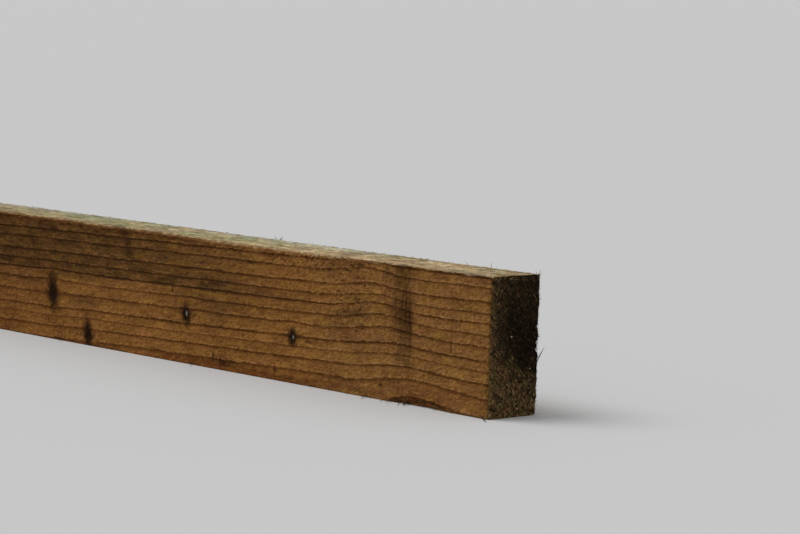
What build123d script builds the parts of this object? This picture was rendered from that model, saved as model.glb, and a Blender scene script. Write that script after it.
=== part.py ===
from build123d import *
from math import hypot
import os

# A rough-sawn softwood stud for a timber-framed wall, lying on its lower narrow edge.
# X runs along the grain, Y through the thickness, Z up the wide face; sizes are in millimetres.
# The origin is under the middle of the lower edge, and the end at +X is the one with the split arris.

# Sawn section and length
stud_length = 2400.0
stud_depth = 100.0
stud_thickness = 47.0
arris_radius = 0.8  # wear on the four long arrises

# Hollow torn out of the lower front arris where the grain swirls past a knot
tear_length = 62.0  # along the arris
tear_rise = 5.3  # up the wide front face
tear_reach = 4.0  # across the lower edge
tear_from_end = 73.0  # middle of the hollow to the +X end

# Chips that the cross-cut split off the back arris of the +X end
chip_depth = 3.0  # deepest bite into the end face
chip_length = 9.0  # longest run back along the arris
chip_height_shares = (0.625, 0.515, 0.465)  # of the stud's depth, from the lower edge
chip_size_shares = (1.0, 0.75, 0.9)  # of the deepest and longest chip

overrun = 2.0  # how far a cutter passes the faces it cuts

end_x = stud_length / 2
front_y = -stud_thickness / 2
back_y = stud_thickness / 2


def sawn_blank():
    """The sawn length, square at both ends, with its four long arrises a little worn."""
    section = Plane.YZ * RectangleRounded(stud_thickness, stud_depth, arris_radius)
    blank = extrude(section, amount=end_x, both=True)
    return Pos(0, 0, stud_depth / 2) * blank


def torn_hollow():
    """A drum laid across the lower front arris, so that the hollow arches up the wide face."""
    bevel_width = hypot(tear_rise, tear_reach)
    bevel_depth = tear_rise * tear_reach / bevel_width
    drum_radius = (tear_length**2 / 4 + bevel_depth**2) / (2 * bevel_depth)
    inward = Vector(0, tear_rise, tear_reach) / bevel_width
    along_bevel = Vector(0, tear_reach, -tear_rise) / bevel_width
    bevel_middle = Vector(end_x - tear_from_end, front_y + tear_reach / 2, tear_rise / 2)
    drum_middle = bevel_middle - inward * drum_radius
    drum_plane = Plane(origin=drum_middle, x_dir=Vector(1, 0, 0), z_dir=along_bevel)
    return drum_plane * Cylinder(drum_radius, bevel_width + 2 * overrun)


def arris_chip(height_share, size_share):
    """One chip: a point that runs back along the arris from its widest bite at the end face."""
    mouth = (end_x, back_y, stud_depth * height_share)
    chip_plane = Plane(origin=mouth, x_dir=Vector(0, 1, 0), z_dir=Vector(-1, 0, 0))
    base_first = (Align.CENTER, Align.CENTER, Align.MIN)
    return chip_plane * Cone(chip_depth * size_share, 0, chip_length * size_share, align=base_first)


def timber_stud():
    """The whole stud, one piece of wood."""
    stud = sawn_blank() - torn_hollow()
    for height_share, size_share in zip(chip_height_shares, chip_size_shares):
        stud -= arris_chip(height_share, size_share)
    return stud


os.makedirs("parts", exist_ok=True)
stud = timber_stud()
stud.label = "timber_stud"
export_step(stud, "parts/timber_stud.step")
print("timber_stud volume in cubic mm:", round(stud.volume))
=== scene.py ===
import itertools
import math
from functools import partial
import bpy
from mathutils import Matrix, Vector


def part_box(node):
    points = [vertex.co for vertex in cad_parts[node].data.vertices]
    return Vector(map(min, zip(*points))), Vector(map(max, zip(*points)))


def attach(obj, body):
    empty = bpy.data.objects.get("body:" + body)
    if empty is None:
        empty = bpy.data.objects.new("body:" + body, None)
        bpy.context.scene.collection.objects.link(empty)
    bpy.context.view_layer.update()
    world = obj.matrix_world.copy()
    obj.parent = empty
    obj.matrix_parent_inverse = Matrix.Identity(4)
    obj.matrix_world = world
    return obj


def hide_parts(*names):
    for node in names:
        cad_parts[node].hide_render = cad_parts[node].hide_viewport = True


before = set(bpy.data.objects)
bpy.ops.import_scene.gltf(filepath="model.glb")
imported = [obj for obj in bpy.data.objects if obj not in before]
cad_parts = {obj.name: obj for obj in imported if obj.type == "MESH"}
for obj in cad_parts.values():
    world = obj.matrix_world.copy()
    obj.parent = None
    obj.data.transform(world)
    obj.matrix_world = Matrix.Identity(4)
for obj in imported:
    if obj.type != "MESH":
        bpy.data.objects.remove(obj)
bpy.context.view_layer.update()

from types import SimpleNamespace

import bpy
import numpy as np
from mathutils import Matrix, Vector

# Rough-sawn softwood stud lying on its narrow edge. Metres, X along the grain, front wide face at -Y.
# The near end is the one at +X. Most values below are in mm, and "from the end" is from that near end.
mm = 0.001
studLow, studHigh = (np.array(corner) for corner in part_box("timber_stud"))
nearX, farX = studHigh[0], studLow[0]
frontY, backY = studLow[1], studHigh[1]
baseZ, topZ = studLow[2], studHigh[2]
studLength = (nearX - farX) / mm
studDepth = round((backY - frontY) / mm)
studHeight = round((topZ - baseZ) / mm)


# Small tools shared by the pieces

def latticeNoise(points, cell, seed):
    # smooth random values from -1 to 1, with one blotch for each cell (mm)
    scaled = points / (np.array(cell) * mm)
    whole = np.floor(scaled)
    index = (whole - whole.min(axis=0)).astype(int)
    part = scaled - whole
    part = part * part * (3 - 2 * part)
    values = np.random.default_rng(seed).uniform(-1, 1, index.max(axis=0) + 2)
    total = np.zeros(len(points))
    for corner in itertools.product((0, 1), repeat=3):
        weight = np.prod(np.where(corner, part, 1 - part), axis=1)
        total += weight * values[tuple((index + corner).T)]
    return total


def easeIn(value, low, high):
    share = np.clip((value - low) / (high - low), 0, 1)
    return share * share * (3 - 2 * share)


def hump(value, middle, run):
    # 1 in the middle, falling away over the run on both sides
    return np.exp(-(((value - middle) / run) ** 2))


def newPiece(name, points, faces):
    mesh = bpy.data.meshes.new(name)
    mesh.from_pydata(points.tolist(), [], faces)
    mesh.validate()
    piece = bpy.data.objects.new(name, mesh)
    bpy.context.collection.objects.link(piece)
    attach(piece, "root")
    return piece


def storeOnPoints(piece, name, values):
    layer = piece.data.attributes.new(name, "FLOAT", "POINT")
    layer.data.foreach_set("value", np.asarray(values, dtype=np.float32))


# The grain: where the growth rings meet every face

grain = {
    # lines on the front at the near end, from the lower edge up, and how dark each one is
    "lineHeights": (-3.5, 12.8, 23.4, 32.8, 39.9, 49.7, 58.0, 66.3, 73.1, 80.9, 91.5, 98.6, 107.5),
    "lineStrengths": (0.6, 0.7, 0.82, 0.58, 0.85, 0.76, 0.7, 0.95, 0.7, 0.78, 0.74, 0.92, 0.22),
    "otherRange": (-60, 260),  # heights filled with further lines, since rings fall through the stud
    "otherGaps": (7.2, 10.0),  # narrowest and widest of those rings
    "otherStrengths": (0.55, 1.0),
    "fallAlong": 0.0185,  # how fast a line drops away from the near end
    "fallThrough": 0.6,  # how fast a ring drops towards the back
    "ringCurve": 0.004,  # rings bend round a pith below the front
    "sag": (9.0, 150, 600),  # how much farther the low lines drop, from where and over what run
    "sagLevel": (36, 16),  # middle and half width of the lines that do
    "lowDrop": (3.2, 390, 560),  # further drop of the lowest lines, from where and to where
    "lowRise": (1.2, 215, 60),  # where those rise instead: how much, place and run
    "lowLevel": (13, 11),
    "farWave": (6.0, 330, 600, 1100),  # wave on the far part: height, run, start and where it is full
    "waver": 0.32,
    # each swirl: from the end at the lower edge, lean up the face, bend of that lean, rise,
    # run on the near side and on the far side
    "swirls": (
        (63, 0.98, -0.0029, 4.6, 48, 46),
        (1545, 0.5, 0.0, 6.5, 46, 34),
        (2060, -0.6, 0.0, 4.0, 40, 50),
    ),
    "swirlTightens": 0.42,  # share of the runs lost from the lower edge to the upper one
    "swirlFades": 0.5,  # share of the rise lost from the front to the back
    "swirlFoot": 2.2,  # extra rise at the lower edge
    "swirlUneven": (0.27, 10, 54),  # the rise comes and goes up the face: share, first peak, wave
    "knotReach": (2.6, 1.4),  # knots bend lines over this many half widths and half heights
    "knotPush": 0.22,
    # pin knots: from the end, height, half width, half height
    "frontKnots": (
        (512, 38.2, 6.6, 11.4), (463, 8.8, 5.0, 10.5), (336.8, 38.5, 5.2, 7.0), (210, 35, 4.8, 6.0),
        (716, 63, 4.4, 7.0), (893, 27, 5.0, 8.0), (1136, 72, 4.0, 6.0), (1404, 36, 6.0, 9.0),
        (1538, 58, 9.0, 12.0), (1797, 20, 4.2, 7.0), (2052, 69, 7.5, 9.0), (2287, 41, 4.2, 6.5),
    ),
    "backKnots": (
        (148, 44, 6.0, 8.0), (402, 66, 4.2, 7.0), (655, 31, 4.5, 7.0), (977, 74, 4.0, 6.0),
        (1240, 22, 5.0, 8.0), (1531, 57, 8.0, 10.0), (1880, 38, 4.4, 7.0), (2190, 70, 4.0, 6.5),
    ),
    "seed": 11,
}


def ringEdges():
    rng = np.random.default_rng(grain["seed"])
    lines = list(grain["lineHeights"])
    strengths = list(grain["lineStrengths"])
    lowest, highest = grain["otherRange"]
    while lines[0] > lowest:
        lines.insert(0, lines[0] - rng.uniform(*grain["otherGaps"]))
        strengths.insert(0, rng.uniform(*grain["otherStrengths"]))
    while lines[-1] < highest:
        lines.append(lines[-1] + rng.uniform(*grain["otherGaps"]))
        strengths.append(rng.uniform(*grain["otherStrengths"]))
    return np.array(lines), np.array(strengths)


ringLines, ringStrengths = ringEdges()
# ring number of the lowest line named above
firstLine = int(np.argmin(abs(ringLines - grain["lineHeights"][0])))


def lineLift(fromEnd, inward, height):
    # how far the lines are pushed up or down by swirls and knots
    lift = np.zeros(len(fromEnd))
    fade = 1 - grain["swirlFades"] * easeIn(inward, 0, studDepth)
    share, firstPeak, wave = grain["swirlUneven"]
    uneven = share * np.cos(2 * math.pi * (height - firstPeak) / wave)
    uneven = 1 + uneven * (1 - easeIn(height, 65, 95))
    for start, lean, bend, rise, nearRun, farRun in grain["swirls"]:
        away = fromEnd - (start + lean * height + bend * height**2)
        run = np.where(away < 0, nearRun, farRun) * (1 - grain["swirlTightens"] * height / studHeight)
        peak = (rise + grain["swirlFoot"] * (1 - height / studHeight) ** 3) * uneven
        lift += fade * peak * hump(away, 0, run)
    reachAlong, reachUp = grain["knotReach"]
    for knots, near in (("frontKnots", inward < 24), ("backKnots", inward >= 24)):
        for place, knotHeight, halfWidth, halfHeight in grain[knots]:
            along = (fromEnd - place) / (reachAlong * halfWidth)
            up = (height - knotHeight) / (reachUp * halfHeight)
            lift += near * grain["knotPush"] * halfHeight * up * np.exp(-(along**2) - up**2)
    return lift


def ringPhase(points):
    # whole numbers are the hard outer edge of the dark latewood
    fromEnd = (nearX - points[:, 0]) / mm
    inward = (points[:, 1] - frontY) / mm
    height = (points[:, 2] - baseZ) / mm
    level = height + grain["fallAlong"] * fromEnd
    sag, sagStart, sagRun = grain["sag"]
    sagHere = sag * (1 - np.exp(-np.clip(fromEnd - sagStart, 0, None) / sagRun))
    level += sagHere * hump(level, *grain["sagLevel"])
    drop, dropStart, dropStop = grain["lowDrop"]
    rise, risePlace, riseRun = grain["lowRise"]
    dropHere = drop * easeIn(fromEnd, dropStart, dropStop) - rise * hump(fromEnd, risePlace, riseRun)
    level += dropHere * hump(level, *grain["lowLevel"])
    wave, waveRun, waveStart, waveFull = grain["farWave"]
    level += wave * np.sin((fromEnd - waveStart) / waveRun) * easeIn(fromEnd, waveStart, waveFull)
    level += grain["fallThrough"] * inward + grain["ringCurve"] * inward**2
    level -= lineLift(fromEnd, inward, height)
    level += grain["waver"] * latticeNoise(points, (26, 11, 11), grain["seed"])
    level += 0.5 * grain["waver"] * latticeNoise(points, (9, 6, 6), grain["seed"] + 1)
    return np.interp(level, ringLines, np.arange(len(ringLines)))


def storeGrain(piece, phase):
    storeOnPoints(piece, "ringPhase", phase)
    storeOnPoints(piece, "lineStrength", ringStrengths[np.rint(phase).astype(int)])


# The stud's skin: loops round the section at every station, and a grid over each end

studSkin = {
    # from the end: start, stop and step
    "stationRuns": ((0, 130, 1.3), (130, 600, 2.2), (600, 2400, 7.5)),
    "arrisSteps": (0, 0.6, 1.4, 2.6, 4.0),  # rows beside an arris
    "rowsUpFace": 50,
    "rowsAcrossEdge": 16,
    "arrisWear": 1.6,
    "ringRelief": 0.10,
    "fuzzRelief": 0.12,
    "swirlRelief": 0.40,
    "sawRelief": 0.06,
    "upperRelief": 0.34,
    "endRelief": 0.55,
    "endRagged": 0.3,
    "knotDip": 0.55,
    # where the swirl is torn on the wide faces: start and stop from the end, and heights
    "tornStart": (100, 125),
    "tornStop": (165, 200),
    "tornUp": (35, 60),
    # the same for loose wood under the upper front arris, and where that thins out
    "shaggyStart": (130, 170),
    "shaggyStop": (300, 360),
    "shaggyUp": (84, 91),
    "shaggyThins": (200, 260),
    "lowerWear": (0.9, 0.7),  # rise and reach of the wear on the lower front arris
    # hollow torn out of that arris
    "tearMiddle": 73,
    "tearLength": 62,
    "tearRise": 5.3,
    "tearReach": 4.0,
    "tearShape": 0.8,  # below 1 it is blunter at both ends
    "tearSlope": 0.85,
    # chips in the back arris of the near end: height, half height, depth
    "chips": ((62.5, 2.8, 2.8), (51.5, 2.0, 1.6), (46.5, 2.2, 2.6)),
    "chipLength": 9.0,
    "chipGive": 9.0,  # how far in from the arris the end's points are pushed with it
    "sharpAngle": 48,  # steeper edges than this, in degrees, are shaded sharp
    "seed": 23,
}


def stationPlaces():
    runs = [np.arange(start, stop, step) for start, stop, step in studSkin["stationRuns"]]
    fromEnd = np.concatenate(runs + [[studLength]])
    return nearX - fromEnd[::-1] * mm


def rowPlaces(low, high, middleRows):
    beside = np.array(studSkin["arrisSteps"]) * mm
    middle = np.linspace(low + beside[-1], high - beside[-1], middleRows + 1)
    return np.concatenate([low + beside[:-1], middle, high - beside[-2::-1]])


def tearShare(fromEnd):
    away = (fromEnd - studSkin["tearMiddle"]) / (studSkin["tearLength"] / 2)
    return np.clip(1 - away**2, 0, 1) ** studSkin["tearShape"]


def wearArrises(points):
    # three arrises are rubbed round, and the lower front one is cut back, most of all in the tear
    seed = studSkin["seed"]
    rough = latticeNoise(points, (7, 500, 500), seed)
    frayed = latticeNoise(points, (3.1, 500, 500), seed + 8)
    y, z = points[:, 1].copy(), points[:, 2].copy()
    arrises = ((backY, -1, baseZ, 1, 1.0), (backY, -1, topZ, -1, 2.2), (frontY, 1, topZ, -1, 1.5))
    for sideY, turnY, sideZ, turnZ, most in arrises:
        wear = most * studSkin["arrisWear"] * (1 + 0.45 * rough) * mm
        near = np.clip(wear - abs(points[:, 1] - sideY) - abs(points[:, 2] - sideZ), 0, None)
        y += turnY * (0.3 + 0.14 * frayed) * near
        z += turnZ * (0.3 - 0.20 * frayed) * near
    fromEnd = (nearX - points[:, 0]) / mm
    share = tearShare(fromEnd + 3.0 * rough)
    ragged = latticeNoise(points, (3.2, 500, 2.0), seed + 1)
    wornRise, wornReach = studSkin["lowerWear"]
    rise = (wornRise + 0.4 * rough + studSkin["tearRise"] * share * (1 + 0.12 * ragged)) * mm
    reach = (wornReach + 0.3 * rough + studSkin["tearReach"] * share) * mm
    up = points[:, 2] - baseZ
    onFront = (points[:, 1] - frontY < 1e-7) & (up < rise)
    undercut = reach * (1 - np.clip(up / rise, 0, 1)) ** studSkin["tearSlope"]
    undercut += 0.4 * mm * share * ragged
    y = np.where(onFront, frontY + np.clip(undercut, 0, None), y)
    slide = 12 * mm  # the underside's points move in with it, as far as this
    depth = points[:, 1] - frontY
    onBase = (up < 1e-7) & (depth < slide)
    y = np.where(onBase, frontY + reach + depth * (1 - reach / slide), y)
    points[:, 1], points[:, 2] = y, z
    return np.where(onFront | (onBase & (depth < 3 * mm)), share, 0)


def chipEndArris(points):
    # bites out of the back arris, which push the first few rows of the end grid in with them
    fromEnd = (nearX - points[:, 0]) / mm
    height = (points[:, 2] - baseZ) / mm
    give = np.clip(1 - (backY - points[:, 1]) / (studSkin["chipGive"] * mm), 0, 1)
    for chipHeight, halfHeight, depth in studSkin["chips"]:
        bite = np.clip(1.25 - 1.25 * abs(height - chipHeight) / halfHeight, 0, 1)
        bite *= np.clip(1 - fromEnd / studSkin["chipLength"], 0, 1)
        points[:, 1] -= give * bite * depth * mm
    upright = np.column_stack([0 * height, 0 * height, points[:, 2]])
    ragged = latticeNoise(upright, (500, 500, 2.6), studSkin["seed"] + 2)
    points[:, 1] += give * np.clip(1 - fromEnd / 6, 0, 1) * (0.7 * ragged - 0.4) * mm


def reliefOnFaces(points, phase, outward):
    # latewood stands proud, earlywood is woolly, and the swirl is torn
    seed = studSkin["seed"]
    fromEnd = (nearX - points[:, 0]) / mm
    height = (points[:, 2] - baseZ) / mm
    relief = studSkin["ringRelief"] * np.cos(2 * math.pi * (phase - 0.92))
    relief += studSkin["fuzzRelief"] * latticeNoise(points, (7, 2.4, 2.4), seed + 3)
    slanted = points.copy()
    slanted[:, 0] -= 0.9 * points[:, 2]
    relief += studSkin["sawRelief"] * latticeNoise(slanted, (3.4, 60, 60), seed + 4)
    onTop = outward[:, 2] > 0.5
    coarse = latticeNoise(points, (9, 3.2, 3.2), seed + 6)
    fine = latticeNoise(points, (3.5, 2.4, 2.4), seed + 7)
    relief += studSkin["upperRelief"] * onTop * (coarse + 0.5 * (fine - 1.4))
    torn = easeIn(fromEnd, *studSkin["tornStart"]) * (1 - easeIn(fromEnd, *studSkin["tornStop"]))
    torn *= easeIn(height, *studSkin["tornUp"])
    shaggy = easeIn(fromEnd, *studSkin["shaggyStart"]) * (1 - easeIn(fromEnd, *studSkin["shaggyStop"]))
    shaggy *= easeIn(height, *studSkin["shaggyUp"])
    shaggy *= (1 - 0.5 * easeIn(fromEnd, *studSkin["shaggyThins"])) * (points[:, 1] < 0)
    shreds = latticeNoise(points, (4.5, 2.2, 2.2), seed + 5)
    relief += studSkin["swirlRelief"] * np.maximum(torn, shaggy) * shreds
    for knots, side in (("frontKnots", points[:, 1] < 0), ("backKnots", points[:, 1] > 0)):
        for place, knotHeight, halfWidth, halfHeight in grain[knots]:
            away = np.hypot((fromEnd - place) / halfWidth, (height - knotHeight) / halfHeight)
            relief -= studSkin["knotDip"] * side * (1 - easeIn(away, 0.2, 1.0))
    points += outward * (relief * mm)[:, None]


def sectionLoop(ys, zs):
    # the section's outline as row numbers, anticlockwise seen from +X, with the way that each one faces
    lastY, lastZ = len(ys) - 1, len(zs) - 1
    loop = [(i, 0) for i in range(lastY)]
    loop += [(lastY, k) for k in range(lastZ)]
    loop += [(i, lastZ) for i in range(lastY, 0, -1)]
    loop += [(0, k) for k in range(lastZ, 0, -1)]
    onY = [(i == lastY) * 1.0 - (i == 0) * 1.0 for i, k in loop]
    onZ = [(k == lastZ) * 1.0 - (k == 0) * 1.0 for i, k in loop]
    outward = np.stack([np.zeros(len(loop)), onY, onZ], axis=1)
    return loop, outward / np.linalg.norm(outward, axis=1)[:, None]


def endGrid(ys, zs, loop, loopStart, innerStart, x, outX):
    # inner points of one end, and faces that join them to the loop at that end
    lastY, lastZ = len(ys) - 1, len(zs) - 1
    inner = [(i, k) for k in range(1, lastZ) for i in range(1, lastY)]
    number = {place: loopStart + j for j, place in enumerate(loop)}
    number.update({place: innerStart + j for j, place in enumerate(inner)})
    points = np.array([(x, ys[i], zs[k]) for i, k in inner])
    if outX > 0:
        chipEndArris(points)
    rough = latticeNoise(points, (500, 2.6, 2.2), studSkin["seed"] + 18 + outX)
    points[:, 0] += outX * studSkin["endRelief"] * mm * rough
    faces = []
    for k in range(lastZ):
        for i in range(lastY):
            quad = (number[i, k], number[i + 1, k], number[i + 1, k + 1], number[i, k + 1])
            faces.append(quad if outX > 0 else quad[::-1])
    return points, faces


def makeStudSkin():
    xs = stationPlaces()
    ys = rowPlaces(frontY, backY, studSkin["rowsAcrossEdge"])
    zs = rowPlaces(baseZ, topZ, studSkin["rowsUpFace"])
    loop, outward = sectionLoop(ys, zs)
    loopSize = len(loop)
    sides = np.empty((len(xs), loopSize, 3))
    sides[:, :, 0] = xs[:, None]
    sides[:, :, 1:] = np.array([(ys[i], zs[k]) for i, k in loop])[None]
    sides = sides.reshape(-1, 3)
    phase = ringPhase(sides)
    torn = wearArrises(sides)
    outward = np.tile(outward, (len(xs), 1))
    reliefOnFaces(sides, phase, outward * (torn < 0.05)[:, None])
    chipEndArris(sides)
    sides[:, 2] = np.maximum(sides[:, 2], baseZ)

    lastLoop = (len(xs) - 1) * loopSize
    farCap, farFaces = endGrid(ys, zs, loop, 0, len(sides), farX, -1)
    nearCap, nearFaces = endGrid(ys, zs, loop, lastLoop, len(sides) + len(farCap), nearX, 1)
    ragged = studSkin["endRagged"] * mm * latticeNoise(sides, (500, 2.1, 2.1), studSkin["seed"] + 24)
    ends = (sides[:, 0] > nearX - 1e-6) | (sides[:, 0] < farX + 1e-6)
    sides[:, 0] += np.where(ends, ragged * np.sign(sides[:, 0]), 0)

    faces = []
    finishes = []
    sideFinish, topFinish, endFinish = range(3)  # in the order that the materials are added
    topStart = len(ys) + len(zs) - 2
    topLoop = range(topStart, topStart + len(ys) - 1)
    for s in range(len(xs) - 1):
        for j in range(loopSize):
            a = s * loopSize + j
            b = s * loopSize + (j + 1) % loopSize
            faces.append((a, b, b + loopSize, a + loopSize))
            finishes.append(topFinish if j in topLoop else sideFinish)
    finishes += [endFinish] * (len(farFaces) + len(nearFaces))
    faces += farFaces + nearFaces
    points = np.concatenate([sides, farCap, nearCap])
    stud = newPiece("timberStud", points, faces)
    storeGrain(stud, np.concatenate([phase, ringPhase(farCap), ringPhase(nearCap)]))
    storeOnPoints(stud, "tornShare", np.concatenate([torn, np.zeros(len(points) - len(torn))]))
    stud.data.polygons.foreach_set("material_index", np.array(finishes, dtype=np.int32))
    stud.data.shade_smooth()
    stud.data.set_sharp_from_angle(angle=math.radians(studSkin["sharpAngle"]))
    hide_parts("timber_stud")
    print("timberStud:", len(points), "points,", 2 * len(faces), "triangles")
    return stud


# Slivers: closed, tapered, flattened fibres, gathered in bundles

sliver = {
    "sections": ((0.0, 1.0), (0.4, 0.85), (0.75, 0.55)),  # share of the length and of the width
    "sides": 3,
    "flatness": 0.55,
    "clearance": 0.05,  # lowest place above the floor
}


def newBundle():
    return SimpleNamespace(points=[], faces=[], tones=[], count=0)


def growSliver(bundle, start, way, bend, length, width, tone):
    points, faces, sides = bundle.points, bundle.faces, sliver["sides"]
    first = len(points)
    way = way / np.linalg.norm(way)
    helper = np.array([0.31, 0.52, 0.79]) if abs(way[2]) < 0.7 else np.array([0.9, 0.3, 0.1])
    flat = np.cross(way, helper)
    flat /= np.linalg.norm(flat)
    thin = sliver["flatness"] * np.cross(way, flat)
    for share, size in sliver["sections"]:
        middle = start + way * length * share + bend * length * share**2
        for turn in range(sides):
            angle = 2 * math.pi * turn / sides
            points.append(middle + size * width * (math.cos(angle) * flat + math.sin(angle) * thin))
    tip = len(points)
    points.append(start + way * length + bend * length)
    faces.append(tuple(range(first + sides - 1, first - 1, -1)))
    lastRing = tip - sides
    for turn in range(sides):
        following = (turn + 1) % sides
        for ring in range(first, lastRing, sides):
            a, b = ring + turn, ring + following
            faces.append((a, b, b + sides, a + sides))
        faces.append((lastRing + turn, lastRing + following, tip))
    bundle.tones += [tone] * (tip + 1 - first)
    bundle.count += 1


def bundleToPiece(name, bundle):
    points = np.array(bundle.points)
    points[:, 2] = np.maximum(points[:, 2], baseZ + sliver["clearance"] * mm)
    piece = newPiece(name, points, bundle.faces)
    storeOnPoints(piece, "fibreTone", bundle.tones)
    piece.data.shade_smooth()
    triangles = sum(len(face) - 2 for face in bundle.faces)
    print(name + ":", bundle.count, "slivers,", triangles, "triangles")
    return piece


endFuzz = {
    "nearCount": 8000,
    "farCount": 3400,
    "boldShare": 0.26,
    "length": (1.2, 3.4),
    "boldLength": (1.8, 4.6),
    "width": (0.10, 0.26),
    "boldWidth": (0.22, 0.50),
    "toneShape": (0.7, 1.7),  # of the beta draw, so that most are dark
    "boldTones": (0.05, 0.85),
    "margin": 1.0,
    "beltLean": 0.55,  # the dark belt rises towards the front by this much for each mm
    "beltLevels": (19, 50),  # where it begins and is full
    "beltThrough": (-20, 0),  # weaker at the front, and full from the middle on
    "beltAtFront": 0.57,
    "palerLevels": (68, 94),  # where it grows paler again, by the share below
    "palerShare": 0.26,
    "palerThrough": (4, 14),  # across the stud, where that gets less towards the back
    "palerAtBack": 0.4,
    "brightInBelt": (0.16, 0.36),  # share that stays pale in the belt, low down and high up
    "fadeInBelt": (0.42, 0.84),  # how much darker those and the others are there
    "darkInRings": 0.5,  # how much darker in the dark part of each ring
    "lift": (0.05, 0.42),  # how steeply a fibre leaves the end
    "slants": (-48, 52),  # the two ways that the saw laid the fibres, in degrees
    "slantSpread": 16,
    "firstSlantShare": 0.76,
    "groove": (78.5, 1.06, 1.7),  # a dark slanting groove: height at the front, fall and half width
    "fringeCount": 170,
    "fringeLength": (0.9, 2.6),
    "fringeWidth": (0.15, 0.34),
    "overEdgeCount": 150,  # short ones that stand past the back arris of the near end
    "overEdgeLength": (0.9, 2.4),
    "overEdgeWidth": 0.2,
    "seed": 31,
}


def sapwoodShare(y, z):
    # a dark belt runs across the end, from above on the front side to below on the back side
    through, height = y / mm, (z - baseZ) / mm
    level = height + endFuzz["beltLean"] * through
    lessAtBack = 1 - (1 - endFuzz["palerAtBack"]) * easeIn(through, *endFuzz["palerThrough"])
    paler = endFuzz["palerShare"] * easeIn(level, *endFuzz["palerLevels"]) * lessAtBack
    atFront = endFuzz["beltAtFront"]
    across = atFront + (1 - atFront) * easeIn(through, *endFuzz["beltThrough"])
    belt = easeIn(level, *endFuzz["beltLevels"]) * (1 - paler) * across
    grooveHeight, fall, halfWidth = endFuzz["groove"]
    inward = through - frontY / mm
    groove = hump(height + fall * inward, grooveHeight, halfWidth)
    groove *= easeIn(inward, 4, 10) * easeIn(inward, 45, 39)
    lowBack = easeIn(through, 3, 13) * easeIn(height, 26, 12)
    return float(max(belt, groove) - 0.36 * lowBack)


def scatterOverEnds(rng):
    # the values of one sliver for each fibre on the two ends
    margin = endFuzz["margin"] * mm
    fibres = []
    for x, outX, count in ((nearX, 1, endFuzz["nearCount"]), (farX, -1, endFuzz["farCount"])):
        for _ in range(count):
            y = rng.uniform(frontY + margin, backY - margin)
            z = rng.uniform(baseZ + 2 * margin, topZ - margin)
            slantNumber = 0 if rng.random() < endFuzz["firstSlantShare"] else 1
            slant = math.radians(endFuzz["slants"][slantNumber] + rng.normal(0, endFuzz["slantSpread"]))
            way = np.array([outX * rng.uniform(*endFuzz["lift"]), math.cos(slant), math.sin(slant)])
            bend = np.array([-outX * 0.06, 0, 0]) + rng.normal(0, 0.12, 3)
            bold = rng.random() < endFuzz["boldShare"]
            length = rng.uniform(*endFuzz["boldLength" if bold else "length"]) * mm
            width = rng.uniform(*endFuzz["boldWidth" if bold else "width"]) * mm
            tone = rng.uniform(*endFuzz["boldTones"]) if bold else rng.beta(*endFuzz["toneShape"])
            if not frontY + margin < y + length * way[1] < backY + 0.6 * mm:
                continue
            if not baseZ + margin < z + length * way[2] < topZ + 0.5 * mm:
                continue
            start = np.array([x - outX * 0.5 * mm, y, z])
            sapwood = sapwoodShare(y + rng.normal(0, 4) * mm, z + rng.normal(0, 4) * mm)
            bright = np.interp(z / mm, (60, 80), endFuzz["brightInBelt"])
            fade = endFuzz["fadeInBelt"][0 if rng.random() < bright else 1]
            fibres.append((start, way, bend, length, width, tone * (1 - fade * sapwood)))
    return fibres


def addFringe(bundle, rng):
    # frayed wood of the upper edge, hanging over the near end
    margin = endFuzz["margin"] * mm
    bend = np.array([-0.1, 0, -0.15])
    for _ in range(endFuzz["fringeCount"]):
        y = rng.uniform(frontY + margin, backY - margin)
        start = np.array([nearX - 0.6 * mm, y, topZ - rng.uniform(0.4, 1.2) * mm])
        out = rng.uniform(0.25, 0.7)
        aside = rng.normal(0, 0.5)
        up = rng.choice((-1.0, 0.35), p=(0.75, 0.25))
        length = rng.uniform(*endFuzz["fringeLength"]) * mm
        tone = rng.uniform(0.5, 1.0) if rng.random() < 0.35 else rng.uniform(0.05, 0.4)
        width = rng.uniform(*endFuzz["fringeWidth"]) * mm
        growSliver(bundle, start, np.array([out, aside, up]), bend, length, width, tone)


def addOverEdge(bundle, rng):
    for _ in range(endFuzz["overEdgeCount"]):
        z = rng.uniform(baseZ + 2 * mm, topZ)
        start = np.array([nearX - rng.uniform(0.2, 2.5) * mm, backY - 0.6 * mm, z])
        way = np.array([rng.uniform(0.0, 0.5), 1.0, rng.normal(0, 0.7)])
        length = rng.uniform(*endFuzz["overEdgeLength"]) * mm
        width = endFuzz["overEdgeWidth"] * mm
        growSliver(bundle, start, way, rng.normal(0, 0.15, 3), length, width, rng.beta(1.3, 3.0))


def makeEndFuzz():
    rng = np.random.default_rng(endFuzz["seed"])
    bundle = newBundle()
    fibres = scatterOverEnds(rng)
    rings = ringPhase(np.array([fibre[0] for fibre in fibres])) % 1.0
    shades = 1 - endFuzz["darkInRings"] * easeIn(rings, 0.55, 0.85)
    for (start, way, bend, length, width, tone), shade in zip(fibres, shades):
        growSliver(bundle, start, way, bend, length, width, tone * float(shade))
    addFringe(bundle, rng)
    addOverEdge(bundle, rng)
    return bundleToPiece("endFuzz", bundle)


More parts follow.
